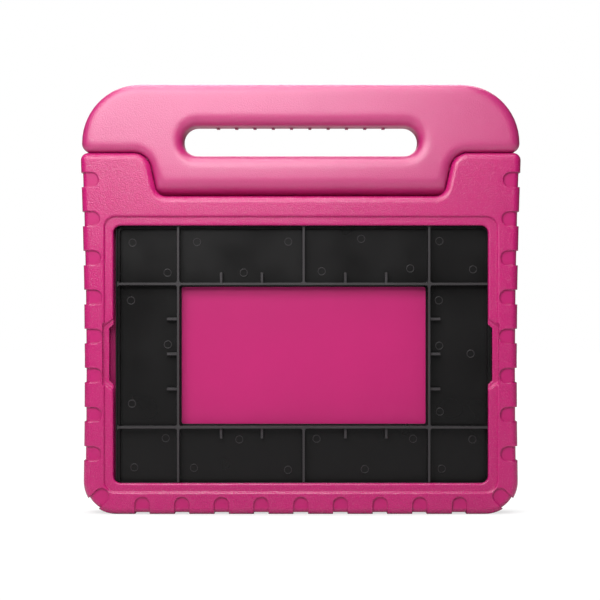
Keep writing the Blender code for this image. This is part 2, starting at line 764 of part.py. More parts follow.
def smooth_round_faces():
    for obj in bpy.data.collections[PARTS].objects:
        if obj.type == "MESH":
            obj.data.shade_smooth()
            obj.data.set_sharp_from_angle(angle=SHARP_FROM)


def main():
    clear_scene()
    foam = material("pink_foam", (0.672, 0.048, 0.223), 0.55)
    black_plastic = material("black_plastic", (0.014, 0.014, 0.014), 0.45)
    pale_plastic = material("pale_plastic", (0.60, 0.58, 0.54), 0.40)
    hinge = bpy.data.objects.new("handle_hinge", None)
    hinge.location = (0, 0, HINGE_HEIGHT)
    keep(hinge, PARTS)
    foam_body(foam)
    carry_handle(foam, hinge)
    insert_tray(black_plastic)
    hinge_pin("hinge_pin_right", 1, pale_plastic, hinge)
    hinge_pin("hinge_pin_left", -1, pale_plastic, hinge)
    hinge_bush("hinge_bush_right", 1, black_plastic)
    hinge_bush("hinge_bush_left", -1, black_plastic)
    smooth_round_faces()


main()
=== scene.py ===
"""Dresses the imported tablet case: the foam body, the carry handle and the insert tray in full detail.

X runs to the right, Y away from the front and Z up, in metres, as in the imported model. A rise is a height
measured from the hinge's axis. Outlines lie in the front plane, as (across, up, radius) corners.
"""

import math

import bmesh
import bpy
from mathutils import Matrix, Vector


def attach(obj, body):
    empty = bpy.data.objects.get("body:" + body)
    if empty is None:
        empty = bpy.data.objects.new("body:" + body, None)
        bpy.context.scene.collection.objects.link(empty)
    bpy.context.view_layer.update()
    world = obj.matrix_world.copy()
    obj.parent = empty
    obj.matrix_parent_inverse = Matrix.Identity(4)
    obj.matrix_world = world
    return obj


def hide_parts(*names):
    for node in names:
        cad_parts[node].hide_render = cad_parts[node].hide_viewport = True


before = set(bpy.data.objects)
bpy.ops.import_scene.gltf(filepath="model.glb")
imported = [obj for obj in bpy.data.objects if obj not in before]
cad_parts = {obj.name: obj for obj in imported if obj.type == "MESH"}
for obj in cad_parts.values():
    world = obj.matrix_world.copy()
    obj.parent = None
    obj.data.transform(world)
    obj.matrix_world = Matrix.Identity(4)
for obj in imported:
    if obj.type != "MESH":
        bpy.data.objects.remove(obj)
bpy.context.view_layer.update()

# Bay, lip and scoops
BAY_HALF_WIDTH = 0.1258
BAY_HALF_HEIGHT = 0.08755
BAY_CENTRE = 0.10455
BAY_CORNER_RADIUS = 0.0060
BAY_FRONT = -0.0090
BAY_FLOOR = -0.0007
LIP_COVER = 0.0033
LIP_RECESS = 0.0015
LIP_CORNER_RADIUS = 0.0048
LIP_EDGE_RADIUS = 0.0012
STEP_MARGIN = 0.0055
STEP_CORNER_RADIUS = 0.0070
SCOOP_LENGTH = 0.0396
SCOOP_LIP_CUT = 0.0028
SCOOP_REACH = 0.0069
SCOOP_POCKET_LENGTH = 0.0348
SCOOP_FLARE = 0.0050
SCOOP_DEPTH = 0.0030
SCOOP_END_SLOPE = 0.0032
SCOOP_CORNER_RADIUS = 0.0008

# Foam body
FOOT_HALF_WIDTH = 0.1425
WAIST_HALF_WIDTH = 0.1407
WAIST_HEIGHT = 0.1270
SHOULDER_HALF_WIDTH = 0.1442
BODY_FRONT = 0.0135
BODY_BACK = 0.0130
BODY_EDGE_RADIUS = 0.0045
FOOT_RADIUS = 0.0215
BOW_RADIUS = 3.0
SHOULDER_TIP_RADIUS = 0.0050

# Grip notches
NOTCH_WIDTH = 0.0096
NOTCH_LENGTH = 0.0115
CORNER_NOTCH_LENGTH = 0.0135
NOTCH_DEPTH = 0.0012
NOTCH_ROUND_SHARE = 0.98
SIDE_NOTCHES = 8
SIDE_NOTCH_PITCH = 0.02555
NOTCH_TO_CORNER = 0.0398
FOOT_NOTCHES = 9
FOOT_NOTCH_PITCH = 0.0259

# Seam and hinge
HINGE_HEIGHT = 0.2223
HALF_SEAM = 0.00006
SEAM_RISE = 0.0142
SEAM_HALF_WIDTH = 0.0969
SEAM_SLOPE = 0.227
SHOULDER_ROUND = 0.0115
TONGUE_ROUND = 0.0060
TONGUE_END_ROUND = 0.0070
TONGUE_RADIUS = 0.0141

# Carry handle
HANDLE_TOP_RISE = 0.0591
HANDLE_HALF_WIDTH = 0.1434
HANDLE_CORNER_RADIUS = 0.0385
HANDLE_TIP_RADIUS = 0.0060
HANDLE_EDGE_RADIUS = 0.0055
SLOT_HALF_WIDTH = 0.0772
SLOT_HALF_HEIGHT = 0.0097
SLOT_RISE = 0.0220
SLOT_END_RADIUS = 0.0095
SLOT_EDGE_RADIUS = 0.0072
RIDGE_COUNT = 10
RIDGE_PITCH = 0.01215
RIDGE_WIDTH = 0.0020
RIDGE_HEIGHT = 0.0008

# Pockets of the hinge pins and seats of their bushes, each as (radius, distance from the middle) points
PIN_POCKET = (
    (0, 0.1069),
    (0.0043, 0.1069),
    (0.0043, 0.0927),
    (0.0083, 0.0927),
    (0.0083, 0.0896),
    (0.0055, 0.0896),
    (0.0055, 0.0722),
    (0.0083, 0.0722),
    (0.0083, 0.0691),
    (0, 0.0691),
)
BUSH_SEAT = (
    (0, 0.1194),
    (0.0066, 0.1194),
    (0.0066, 0.1032),
    (0.0081, 0.1032),
    (0.0081, 0.0869),
    (0, 0.0869),
)

# Insert tray
TRAY_HALF_WIDTH = 0.1233
TRAY_HALF_HEIGHT = 0.0863
TRAY_CENTRE = 0.1036
TRAY_SHIFT = 0.0019
TRAY_FRONT = -0.0087
TRAY_BACK = -0.0010
TRAY_CORNER_RADIUS = 0.0050
TRAY_WALL = 0.0011
WALL_DROP = 0.0003
TRAY_LEDGE = 0.0014
TRAY_LEDGE_HEIGHT = 0.0042
TRAY_FLOOR = 0.0015
RIB_WIDTH = 0.0015
RIB_HALF_SPAN = 0.0823
RIB_HALF_RISE = 0.0470
WINDOW_LEDGE = 0.0011
WINDOW_CORNER_RADIUS = 0.0014
CELL_CORNER_RADIUS = 0.0016
STUB_WIDTH = 0.0016
STUB_LENGTH = 0.0075
STUB_HEIGHT = 0.0045
STUB_SPREADS = (0.0274, 0.0542)
SIDE_STUB_PITCH = 0.0230
SIDE_STUB_LIFT = 0.0010
PIN_MARK_RADIUS = 0.0027
PIN_MARK_HEIGHT = 0.00035
PIN_MARK_RIM = 0.0004
PIN_MARK_SLOPE = 0.0001
PIN_MARK_DIP = 0.00028

# How far a cutter runs past what it cuts, how near flat faces may come, and how fine the round forms are
OVERRUN = 0.0200
SKIN = 0.0002
FINE_TURN = math.radians(6)
EDGE_STEPS = 9
LIP_STEPS = 4
KNUCKLE_STEPS = 14
TONGUE_STEPS = 12
TURNED_STEPS = 72
PIN_MARK_STEPS = 28
SMOOTH_ANGLE = math.radians(35)
WELD = 0.000002

# Which faces count as a floor: how near its depth their middles lie, and how squarely they look forward
BAY_FLOOR_BAND = 0.0004
NOTCH_FLOOR_BAND = 0.0001
FORWARD = -0.9

# Finishes, as linear colours, and the share by which a colour drifts
PINK = (0.388, 0.007, 0.115)
HANDLE_PINK = (0.385, 0.010, 0.121)
# The darker pink is painted shade, mixed into the hollows of the foam's grain.
HOLLOW_SHADE_PINK = (0.31, 0.006, 0.075)
BLACK = (0.0045, 0.0042, 0.0043)
# The lighter black is a painted highlight for the tray's tops.
LIT_TOPS_BLACK = (0.033, 0.030, 0.032)
PALE = (0.60, 0.58, 0.54)
FOAM_DRIFT = 0.07
PLASTIC_DRIFT = 0.2
# How far the grain's hollows go towards the darker pink, as painted shade.
HOLLOW_SHADE_SHARE = 0.55
PLASTIC_SHINE = 0.2
PLASTIC_BUMP = 0.00002
PLASTIC_GRAIN = 2600
PLASTIC_EDGE = 0.0003

# Studio lamps, as (name, place, the point it faces, width and height, watts), and the light all round
MIDDLE = (0, 0, 0.14)
LAMPS = (
    ("gloss_panel", (-0.13, -0.50, 0.375), (0, 0, 0.24), (0.50, 0.10), 2.1),
    ("front_panel", (-0.16, -0.65, 0.85), MIDDLE, (0.60, 0.14), 2.5),
    ("high_gloss", (-0.13, -0.55, 0.58), (0, 0, 0.25), (0.60, 0.06), 1.5),
    ("key", (-0.55, -0.60, 0.85), MIDDLE, (0.35, 0.35), 2.0),
    ("back_panel", (0.05, 0.60, 1.05), MIDDLE, (0.8, 0.3), 6.0),
    ("back_fill", (0, 1.10, 0.90), MIDDLE, (1.0, 0.5), 6.0),
    ("overhead", (-0.10, -0.15, 1.05), MIDDLE, (0.8, 0.10), 6.2),
)
ROOM_LIGHT = 0.11

# The ground's own tone, and its white for the camera as (distance, share) points, with depth stretched
GROUND_SIZE = 3.0
GROUND_TONE = 0.62
GROUND_ROUGHNESS = 0.9
GROUND_GLOW = 1.07
GLOW_NEAR = (0.125, 0.62)
GLOW_FAR = (0.19, 1.0)
GLOW_STRETCH = 7

# Camera
CAMERA_PLACE = (-0.0005, -1.0, 0.1401)
CAMERA_LENS = 90.75


def linked(name, mesh):
    """A new object in the scene, with this data."""
    obj = bpy.data.objects.new(name, mesh)
    bpy.context.scene.collection.objects.link(obj)
    return obj


def new_mesh(name, bm):
    """The mesh of a bmesh, which is used up."""
    mesh = bpy.data.meshes.new(name)
    bm.to_mesh(mesh)
    bm.free()
    return mesh


def arc_segments(turn):
    """How many segments an arc has for its turn."""
    return max(3, math.ceil(turn / FINE_TURN))


def outline_face(bm, corners, depth=0.0):
    """A flat face through the corners at a depth, with each corner rounded by its own radius."""
    verts = [bm.verts.new((across, depth, up)) for across, up, _ in corners]
    bm.faces.new(verts)
    for vert, (_, _, radius) in zip(verts, corners):
        if radius <= 0:
            continue
        arms = [edge.other_vert(vert).co - vert.co for edge in vert.link_edges]
        turn = math.pi - arms[0].angle(arms[1])
        bmesh.ops.bevel(
            bm,
            geom=[vert],
            offset=radius * math.tan(turn / 2),
            offset_type="OFFSET",
            segments=arc_segments(turn),
            profile=0.5,
            affect="VERTICES",
            clamp_overlap=True,
            material=-1,
        )


def verts_in(geom):
    """The vertices among the things that an operator made."""
    return [item for item in geom if isinstance(item, bmesh.types.BMVert)]


def pull_out(bm, reach):
    """Makes solids of flat faces, by pulling a copy of them out by a vector."""
    made = bmesh.ops.extrude_face_region(bm, geom=bm.faces[:], use_keep_orig=True)
    bmesh.ops.translate(bm, vec=reach, verts=verts_in(made["geom"]))


def slab(outlines, near, far):
    """Solid slabs with these outlines, side by side, from a near depth to a far one."""
    bm = bmesh.new()
    for corners in outlines:
        outline_face(bm, corners, near)
    pull_out(bm, (0, far - near, 0))
    bmesh.ops.recalc_face_normals(bm, faces=bm.faces)
    return bm


def round_rims(bm, near, far, radius):
    """Rounds the edges between a slab's two flat faces and its sides."""
    rims = [
        edge
        for edge in bm.edges
        if any(all(abs(vert.co.y - depth) < WELD for vert in edge.verts) for depth in (near, far))
    ]
    bmesh.ops.bevel(
        bm,
        geom=rims,
        offset=radius,
        offset_type="OFFSET",
        segments=EDGE_STEPS,
        profile=0.5,
        affect="EDGES",
        clamp_overlap=False,
        material=-1,
    )
    bmesh.ops.remove_doubles(bm, verts=bm.verts, dist=WELD)


def lofted(stations):
    """A solid through outlines at their depths, as (corners, depth) stations from front to back."""
    bm = bmesh.new()
    for corners, depth in stations:
        outline_face(bm, corners, depth)
    caps = sorted(bm.faces, key=lambda face: face.calc_center_median().y)
    rings = [face.edges[:] for face in caps]
    bmesh.ops.delete(bm, geom=caps[1:-1], context="FACES_ONLY")
    for near, far in zip(rings, rings[1:]):
        bmesh.ops.bridge_loops(bm, edges=near + far)
    bmesh.ops.recalc_face_normals(bm, faces=bm.faces)
    return bm


def flared(centre, half_width, half_height, corner_radius, flares):
    """Stations of a box whose outline opens out by a flare at each depth, from (flare, depth) points."""
    return [
        (box_corners(centre, half_width + flare, half_height + flare, corner_radius + flare), depth)
        for flare, depth in flares
    ]


def arc_angles(start, end, steps):
    """Angles from a first to a last one, in even steps."""
    return [start + (end - start) * step / steps for step in range(steps + 1)]


def rounded_mouth(centre, half_width, half_height, corner_radius, rim, rim_radius, far):
    """A tool for an opening whose front edge, at the rim's depth, is rounded over."""
    flares = [(rim_radius, rim - OVERRUN)]
    for angle in arc_angles(math.pi / 2, 0, LIP_STEPS):
        flares.append((rim_radius * (1 - math.cos(angle)), rim + rim_radius * (1 - math.sin(angle))))
    if far > rim + rim_radius + WELD:
        flares.append((0, far))
    return lofted(flared(centre, half_width, half_height, corner_radius, flares))


def turned(profile, side=1, start=0.0):
    """A solid turned about the hinge's axis, from (radius, distance from the middle) points."""
    bm = bmesh.new()
    verts = []
    for radius, along in profile:
        point = (side * along, radius * math.sin(start), HINGE_HEIGHT + radius * math.cos(start))
        verts.append(bm.verts.new(point))
    edges = [bm.edges.new(pair) for pair in zip(verts, verts[1:])]
    bmesh.ops.spin(
        bm,
        geom=verts + edges,
        cent=(0, 0, HINGE_HEIGHT),
        axis=(1, 0, 0),
        angle=math.tau,
        steps=TURNED_STEPS,
        use_merge=True,
    )
    bmesh.ops.remove_doubles(bm, verts=bm.verts, dist=WELD)
    bmesh.ops.recalc_face_normals(bm, faces=bm.faces)
    return bm


def block(low, high):
    """A box between two opposite corners."""
    bm = bmesh.new()
    size = Vector(high) - Vector(low)
    middle = (Vector(low) + Vector(high)) / 2
    bmesh.ops.create_cube(bm, size=1.0, matrix=Matrix.Translation(middle) @ Matrix.Diagonal(size).to_4x4())
    return bm


def carved(name, solid, tools):
    """A solid after its tools have been cut out of it, one after the other."""
    base = linked(name, new_mesh(name, solid))
    helpers = []
    for tool in tools:
        helper = linked(f"{name}_tool", new_mesh(f"{name}_tool", tool))
        boolean = base.modifiers.new("cut", "BOOLEAN")
        boolean.object = helper
        boolean.operation = "DIFFERENCE"
        helpers.append(helper)
    graph = bpy.context.evaluated_depsgraph_get()
    mesh = bpy.data.meshes.new_from_object(base.evaluated_get(graph))
    for helper in [base] + helpers:
        old = helper.data
        bpy.data.objects.remove(helper, do_unlink=True)
        bpy.data.meshes.remove(old)
    bm = bmesh.new()
    bm.from_mesh(mesh)
    bpy.data.meshes.remove(mesh)
    return bm


def join(bm, other):
    """Adds another bmesh's shells to this one."""
    mesh = new_mesh("joined", other)
    bm.from_mesh(mesh)
    bpy.data.meshes.remove(mesh)


def finished(name, bm, materials, body, node):
    """The finished piece, smooth across its round edges and flat on its flat faces."""
    piece = linked(name, new_mesh(name, bm))
    for used in materials:
        piece.data.materials.append(used)
    piece.data.shade_smooth()
    piece.data.set_sharp_from_angle(angle=SMOOTH_ANGLE)
    weighted = piece.modifiers.new("flat faces stay flat", "WEIGHTED_NORMAL")
    weighted.keep_sharp = True
    weighted.weight = 100
    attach(piece, body)
    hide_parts(node)


def mirrored(right_half):
    """Corners that run up the right side, and then their mirror images down the left side."""
    return right_half + [(-across, up, radius) for across, up, radius in reversed(right_half)]


def box_corners(centre, half_width, half_height, radius=0.0):
    """The corners of a box about its centre."""
    across, up = centre
    return [
        (across - half_width, up - half_height, radius),
        (across + half_width, up - half_height, radius),
        (across + half_width, up + half_height, radius),
        (across - half_width, up + half_height, radius),
    ]


def seam_half_width(rise):
    """How far from the middle the slanting seam lies at a rise."""
    return SEAM_HALF_WIDTH + SEAM_SLOPE * rise


SHOULDER_RISE = SEAM_RISE - HALF_SEAM
OVERHANG_RISE = SEAM_RISE + HALF_SEAM
TROUGH_DROP = TONGUE_RADIUS + 2 * HALF_SEAM


def body_corners(inset=0.0):
    """The body's outline with its shoulders and trough, or a smaller one that lies inside it by the inset."""
    shoulder = SHOULDER_RISE - inset
    trough = -TROUGH_DROP - inset
    beside_seam = HALF_SEAM + inset
    return mirrored(
        [
            (FOOT_HALF_WIDTH - inset, inset, FOOT_RADIUS - inset),
            (WAIST_HALF_WIDTH - inset, WAIST_HEIGHT, BOW_RADIUS),
            (SHOULDER_HALF_WIDTH - inset, HINGE_HEIGHT + shoulder, SHOULDER_TIP_RADIUS - inset),
            (seam_half_width(shoulder) + beside_seam, HINGE_HEIGHT + shoulder, SHOULDER_ROUND - beside_seam),
            (
                seam_half_width(trough) + beside_seam,
                HINGE_HEIGHT + trough,
                TONGUE_END_ROUND + HALF_SEAM + beside_seam,
            ),
        ]
    )


def side_half_width(height):
    """How far from the middle the body's side lies at a height."""
    if height < WAIST_HEIGHT:
        return FOOT_HALF_WIDTH + (WAIST_HALF_WIDTH - FOOT_HALF_WIDTH) * height / WAIST_HEIGHT
    share = (height - WAIST_HEIGHT) / (HINGE_HEIGHT + SHOULDER_RISE - WAIST_HEIGHT)
    return WAIST_HALF_WIDTH + (SHOULDER_HALF_WIDTH - WAIST_HALF_WIDTH) * share


def notch_corners(edge, inward, length=NOTCH_LENGTH):
    """One U-shaped grip notch, open outwards, from a point on the body's edge."""
    half = NOTCH_WIDTH / 2
    inward = Vector(inward).normalized()
    across = inward.orthogonal()
    round_end = half * NOTCH_ROUND_SHARE
    drawn = ((-OVERRUN, -half, 0), (length, -half, round_end), (length, half, round_end), (-OVERRUN, half, 0))
    corners = []
    for along, beside, radius in drawn:
        point = Vector(edge) + inward * along + across * beside
        corners.append((point.x, point.y, radius))
    return corners


def notch_outlines():
    """The outlines of all grip notches: up both sides, round the lower corners and along the foot."""
    outlines = []
    for side in (1, -1):
        for index in range(SIDE_NOTCHES):
            height = NOTCH_TO_CORNER + index * SIDE_NOTCH_PITCH
            outlines.append(notch_corners((side * side_half_width(height), height), (-side, 0)))
        diagonal = FOOT_RADIUS * math.sqrt(0.5)
        corner = (side * (FOOT_HALF_WIDTH - FOOT_RADIUS + diagonal), FOOT_RADIUS - diagonal)
        outlines.append(notch_corners(corner, (-side, 1), CORNER_NOTCH_LENGTH))
    for index in range(FOOT_NOTCHES):
        across = (index - (FOOT_NOTCHES - 1) / 2) * FOOT_NOTCH_PITCH
        outlines.append(notch_corners((across, 0), (0, 1)))
    return outlines


def grip_notches():
    """The notches, which go in by one depth from the front, the edge and the back."""
    near = -BODY_FRONT + NOTCH_DEPTH
    far = BODY_BACK - NOTCH_DEPTH
    core = slab([body_corners(NOTCH_DEPTH)], near, far)
    round_rims(core, near, far, BODY_EDGE_RADIUS - NOTCH_DEPTH)
    notches = slab(notch_outlines(), -BODY_FRONT - OVERRUN, BODY_BACK + OVERRUN)
    return carved("grip_notches", notches, [core])


def scoop_corners(side, reach, length, flare):
    """A scoop in one side of the lip, which flares towards the bay."""
    lip = BAY_HALF_WIDTH - LIP_COVER
    inner = lip - LIP_COVER
    half_inner = length / 2 + (reach + LIP_COVER) * flare / reach
    return [
        (side * inner, BAY_CENTRE - half_inner, 0),
        (side * (lip + reach), BAY_CENTRE - length / 2, SCOOP_CORNER_RADIUS),
        (side * (lip + reach), BAY_CENTRE + length / 2, SCOOP_CORNER_RADIUS),
        (side * inner, BAY_CENTRE + half_inner, 0),
    ]


def scoop_pocket(side):
    """A thumb scoop's pocket, whose upper and lower ends slope in towards its floor."""
    wide_end = scoop_corners(side, SCOOP_REACH, SCOOP_POCKET_LENGTH + 2 * SCOOP_END_SLOPE, SCOOP_FLARE)
    floor_end = scoop_corners(side, SCOOP_REACH, SCOOP_POCKET_LENGTH, SCOOP_FLARE)
    return lofted(
        [
            (wide_end, -BODY_FRONT - OVERRUN),
            (wide_end, -BODY_FRONT),
            (floor_end, -BODY_FRONT + SCOOP_DEPTH),
        ]
    )


def bay_tools():
    """What is cut for the tablet: the recess, the lip's mouth, the bay behind it and the thumb scoops."""
    front = -BODY_FRONT - OVERRUN
    behind_lip = (BAY_FRONT + BAY_FLOOR) / 2
    middle = (0, BAY_CENTRE)
    wide = BAY_HALF_WIDTH - LIP_COVER
    high = BAY_HALF_HEIGHT - LIP_COVER
    recess = -BODY_FRONT + LIP_RECESS
    step = rounded_mouth(
        middle, wide + STEP_MARGIN, high + STEP_MARGIN, STEP_CORNER_RADIUS, -BODY_FRONT, LIP_RECESS, recess
    )
    mouth = rounded_mouth(middle, wide, high, LIP_CORNER_RADIUS, recess, LIP_EDGE_RADIUS, behind_lip)
    bay = box_corners(middle, BAY_HALF_WIDTH, BAY_HALF_HEIGHT, BAY_CORNER_RADIUS)
    cut_length = SCOOP_LENGTH - 2 * SCOOP_LIP_CUT
    lip_cuts = [scoop_corners(side, SCOOP_LIP_CUT, cut_length, SCOOP_LIP_CUT) for side in (1, -1)]
    return [
        step,
        mouth,
        slab([bay], BAY_FRONT, BAY_FLOOR),
        slab(lip_cuts, front, behind_lip),
        scoop_pocket(1),
        scoop_pocket(-1),
    ]


def knuckle(side):
    """The round form of a shoulder behind the hinge's axis, which the folding handle passes round."""
    slant = math.atan(SEAM_SLOPE)
    radius = SHOULDER_ROUND - HALF_SEAM
    face = seam_half_width(SHOULDER_RISE) + HALF_SEAM
    reach = radius * math.tan((math.pi / 2 - slant) / 2)
    rise, along = SHOULDER_RISE - radius, face + reach
    profile = [(0, SHOULDER_HALF_WIDTH + OVERRUN), (SHOULDER_RISE, SHOULDER_HALF_WIDTH + OVERRUN)]
    for angle in arc_angles(0, math.pi / 2 - slant, KNUCKLE_STEPS):
        profile.append((rise + radius * math.cos(angle), along - radius * math.sin(angle)))
    profile.append((0, seam_half_width(0) + HALF_SEAM))
    return turned(profile, side)


def fold_tools():
    """What the handle needs clear behind the hinge's axis, so that it can fold back through a right angle."""
    wide = SHOULDER_HALF_WIDTH + OVERRUN / 2
    behind = BODY_BACK + OVERRUN
    top = HINGE_HEIGHT + SEAM_RISE + OVERRUN
    over_shoulders = carved(
        "fold_relief",
        block((-wide, 0, HINGE_HEIGHT), (wide, behind, top)),
        [knuckle(1), knuckle(-1)],
    )
    right_half = [
        (seam_half_width(0) + HALF_SEAM, -SKIN, 0),
        (seam_half_width(SHOULDER_RISE) + HALF_SEAM, SHOULDER_RISE, SHOULDER_ROUND - HALF_SEAM),
        (wide, SHOULDER_RISE, 0),
        (wide, behind, 0),
    ]
    beside_tongue = slab([mirrored(right_half)], -BODY_FRONT - 2 * HALF_SEAM, SKIN)
    # The outline was drawn in the front plane, and lies flat above the trough.
    lay_flat = Matrix(((1, 0, 0, 0), (0, 0, 1, 0), (0, 1, 0, HINGE_HEIGHT), (0, 0, 0, 1)))
    bmesh.ops.transform(beside_tongue, matrix=lay_flat, verts=beside_tongue.verts)
    bmesh.ops.recalc_face_normals(beside_tongue, faces=beside_tongue.faces)
    return [over_shoulders, beside_tongue]


def foam_body(skin, smooth_skin):
    """The bumper, whose bay floor and notch floors are smooth."""
    body = slab([body_corners()], -BODY_FRONT, BODY_BACK)
    round_rims(body, -BODY_FRONT, BODY_BACK, BODY_EDGE_RADIUS)
    tools = [grip_notches()] + bay_tools() + fold_tools()
    tools += [turned(BUSH_SEAT, side) for side in (1, -1)]
    body = carved("foam_bumper", body, tools)
    for face in body.faces:
        depth = face.calc_center_median().y
        on_bay_floor = abs(depth - BAY_FLOOR) < BAY_FLOOR_BAND
        on_notch_floor = abs(depth + BODY_FRONT - NOTCH_DEPTH) < NOTCH_FLOOR_BAND
        face.material_index = int((on_bay_floor or on_notch_floor) and face.normal.y < FORWARD)
    finished("foam_bumper", body, [skin, smooth_skin], "case", "foam_body")


def handle_corners():
    """The handle's outline, from the tongue out over the shoulders and up to the grip bar."""
    tongue = -TONGUE_RADIUS - SKIN
    right_half = [
        (seam_half_width(tongue) - HALF_SEAM, tongue, TONGUE_END_ROUND),
        (seam_half_width(OVERHANG_RISE) - HALF_SEAM, OVERHANG_RISE, SHOULDER_ROUND + HALF_SEAM),
        (HANDLE_HALF_WIDTH, OVERHANG_RISE, HANDLE_TIP_RADIUS),
        (HANDLE_HALF_WIDTH, HANDLE_TOP_RISE, HANDLE_CORNER_RADIUS),
    ]
    return mirrored([(across, HINGE_HEIGHT + rise, radius) for across, rise, radius in right_half])


def slot_tool():
    """The slot, which opens out in a quarter round towards the handle's front and back."""
    straight = BODY_FRONT - SLOT_EDGE_RADIUS
    flares = [(SLOT_EDGE_RADIUS, -BODY_FRONT - OVERRUN)]
    for angle in arc_angles(math.pi / 2, 0, EDGE_STEPS):
        flare = SLOT_EDGE_RADIUS * (1 - math.cos(angle))
        flares.append((flare, -straight - SLOT_EDGE_RADIUS * math.sin(angle)))
    flares += [(flare, -depth) for flare, depth in reversed(flares)]
    middle = (0, HINGE_HEIGHT + SLOT_RISE)
    return lofted(flared(middle, SLOT_HALF_WIDTH, SLOT_HALF_HEIGHT, SLOT_END_RADIUS, flares))


def tongue_tools():
    """Rounds the tongue below the hinge's axis: a long roll in front, and a turned core behind."""
    wide = SEAM_HALF_WIDTH + OVERRUN
    low = HINGE_HEIGHT - TONGUE_RADIUS - OVERRUN
    deep = BODY_FRONT + OVERRUN
    end = wide + OVERRUN
    roll = turned([(0, end), (TONGUE_RADIUS, end), (TONGUE_RADIUS, -end), (0, -end)])
    before_axis = carved(
        "tongue_front",
        block((-wide, -deep, low), (wide, SKIN, HINGE_HEIGHT)),
        [roll],
    )
    slant = math.atan(SEAM_SLOPE)
    radius = TONGUE_ROUND - HALF_SEAM
    turn = math.pi / 2 + slant
    face = seam_half_width(-TONGUE_RADIUS) - HALF_SEAM
    drop, centre = TONGUE_RADIUS - radius, face - radius * math.tan(turn / 2)
    right = [(0, seam_half_width(0) - HALF_SEAM)]
    for angle in arc_angles(turn, 0, TONGUE_STEPS):
        right.append((drop + radius * math.cos(angle), centre + radius * math.sin(angle)))
    profile = right + [(from_axis, -along) for from_axis, along in reversed(right)]
    behind_axis = carved(
        "tongue_back",
        block((-wide, 0, low), (wide, deep, HINGE_HEIGHT)),
        [turned(profile)],
    )
    return [before_axis, behind_axis]


def grip_ridges():
    """The ten grip ridges under the back half of the grip bar."""
    bm = bmesh.new()
    low = HINGE_HEIGHT + SLOT_RISE + SLOT_HALF_HEIGHT - RIDGE_HEIGHT
    back = BODY_FRONT - SKIN
    high = low + RIDGE_HEIGHT + SLOT_EDGE_RADIUS
    first = -(RIDGE_COUNT - 1) / 2 * RIDGE_PITCH
    outline_face(bm, [(SKIN, low, 0), (back, low, SLOT_EDGE_RADIUS), (back, high, 0), (SKIN, high, 0)])
    pull_out(bm, (0, RIDGE_WIDTH, 0))
    # The section was drawn in the front plane, and is turned to run across the bar.
    side_on = Matrix(((0, 1, 0, first - RIDGE_WIDTH / 2), (1, 0, 0, 0), (0, 0, 1, 0), (0, 0, 0, 1)))
    bmesh.ops.transform(bm, matrix=side_on, verts=bm.verts)
    one = bm.faces[:] + bm.edges[:] + bm.verts[:]
    for index in range(1, RIDGE_COUNT):
        copy = bmesh.ops.duplicate(bm, geom=one)
        bmesh.ops.translate(bm, vec=(index * RIDGE_PITCH, 0, 0), verts=verts_in(copy["geom"]))
    bmesh.ops.recalc_face_normals(bm, faces=bm.faces)
    return bm


def carry_handle(skin):
    """The handle with its slot, ridges, round tongue and pin pockets."""
    # The pockets come first, half a step round, because a later cut at the rounded tongue doesn't close.
    tools = [turned(PIN_POCKET, side, math.pi / TURNED_STEPS) for side in (1, -1)]
    tools += [slot_tool()] + tongue_tools()
    handle = slab([handle_corners()], -BODY_FRONT, BODY_FRONT)
    round_rims(handle, -BODY_FRONT, BODY_FRONT, HANDLE_EDGE_RADIUS)
    handle = carved("grip_handle", handle, tools)
    join(handle, grip_ridges())
    finished("grip_handle", handle, [skin], "handle", "carry_handle")


def tray_cells():
    """The (centre, half width, half height) of the ten cells round the tray's window."""
    half_rib = RIB_WIDTH / 2
    across = TRAY_HALF_WIDTH - TRAY_WALL
    up = TRAY_HALF_HEIGHT - TRAY_WALL
    columns = [
        (-across, -RIB_HALF_SPAN - half_rib),
        (-RIB_HALF_SPAN + half_rib, -half_rib),
        (half_rib, RIB_HALF_SPAN - half_rib),
        (RIB_HALF_SPAN + half_rib, across),
    ]
    rows = [
        (-up, -RIB_HALF_RISE - half_rib),
        (-RIB_HALF_RISE + half_rib, RIB_HALF_RISE - half_rib),
        (RIB_HALF_RISE + half_rib, up),
    ]
    cells = []
    for low, high in rows:
        for left, right in columns:
            if low < 0 < high and abs(left + right) < 2 * RIB_HALF_SPAN:
                continue
            centre = (TRAY_SHIFT + (left + right) / 2, TRAY_CENTRE + (low + high) / 2)
            cells.append((centre, (right - left) / 2, (high - low) / 2))
    return cells


def stub_outlines():
    """The short ribs that stand out from the long ones, away from the window."""
    outlines = []
    half = STUB_WIDTH / 2
    reach = STUB_LENGTH / 2
    for side in (1, -1):
        up = TRAY_CENTRE + side * (RIB_HALF_RISE + reach)
        for spread in STUB_SPREADS:
            outlines.append(box_corners((TRAY_SHIFT + spread, up), half, reach))
            outlines.append(box_corners((TRAY_SHIFT - spread, up), half, reach))
        across = TRAY_SHIFT + side * (RIB_HALF_SPAN + reach)
        for row in (-1, 0, 1):
            up = TRAY_CENTRE + SIDE_STUB_LIFT + row * SIDE_STUB_PITCH
            outlines.append(box_corners((across, up), reach, half))
    return outlines


# Where the moulding's ejector pins left their round marks on the tray's floor, as (across, up) in metres
PIN_MARKS = (
    (-0.1109, 0.1778),
    (-0.0878, 0.1580),
    (-0.0684, 0.1783),
    (-0.0376, 0.1580),
    (-0.0082, 0.1785),
    (0.0138, 0.1590),
    (0.0399, 0.1804),
    (0.0722, 0.1608),
    (0.0914, 0.1789),
    (0.1136, 0.1602),
    (-0.1119, 0.1397),
    (-0.0876, 0.1107),
    (-0.1113, 0.0717),
    (0.0910, 0.1399),
    (0.0913, 0.1099),
    (0.1120, 0.1047),
    (0.0917, 0.0665),
    (-0.0890, 0.0490),
    (-0.1097, 0.0297),
    (-0.0704, 0.0294),
    (-0.0405, 0.0482),
    (-0.0084, 0.0281),
    (0.0104, 0.0486),
    (0.0422, 0.0285),
    (0.0741, 0.0486),
    (0.1132, 0.0482),
    (0.0929, 0.0288),
)


